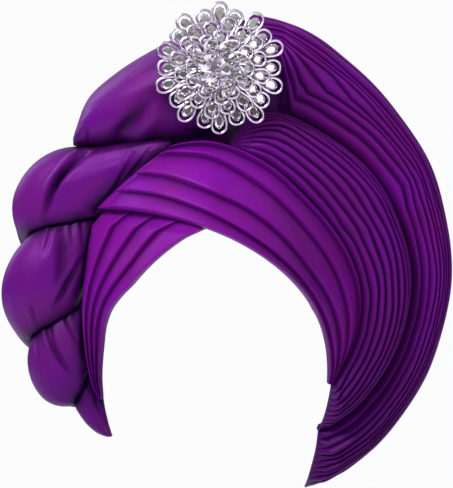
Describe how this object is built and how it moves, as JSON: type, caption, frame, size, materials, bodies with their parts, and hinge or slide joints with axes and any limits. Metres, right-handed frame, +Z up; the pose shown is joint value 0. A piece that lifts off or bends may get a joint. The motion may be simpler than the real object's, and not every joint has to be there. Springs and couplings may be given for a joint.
{
  "type": "tied gele head tie",
  "caption": "Purple satin gele tied round the head with pleated brow bands, a tall pleated fan, a puffed roll, a side twist and a silver crystal brooch.",
  "frame": {"origin": "outside of the head's crown, at the inside of the cap's top, where the head tie sits", "axes": "+Z up, -Y towards the face, +X towards the fan, to the right in a view of the front"},
  "size_m": [0.3381, 0.1907, 0.3629],
  "materials": {
    "cap_cloth": "dark purple satin, seen from inside and behind",
    "satin_band": "purple satin, bright sheen",
    "satin_fan": "purple satin, finely pleated",
    "satin_roll": "purple satin, gathered",
    "satin_twist": "purple satin, folded and twisted",
    "brooch_metal": "bright silver-coloured plating",
    "brooch_crystal": "clear faceted crystals in bright metal"
  },
  "bodies": {
    "root": {"head_cap": "cap_cloth", "brow_wrap_over": "satin_band", "brow_wrap_under": "satin_band", "fan_inner": "satin_fan", "fan_outer": "satin_fan", "top_roll": "satin_roll", "twist_strand_a": "satin_twist", "twist_strand_b": "satin_twist", "brooch_pin": "brooch_metal", "brooch_frame": "brooch_metal", "brooch_center": "brooch_crystal"}
  },
  "joints": []
}
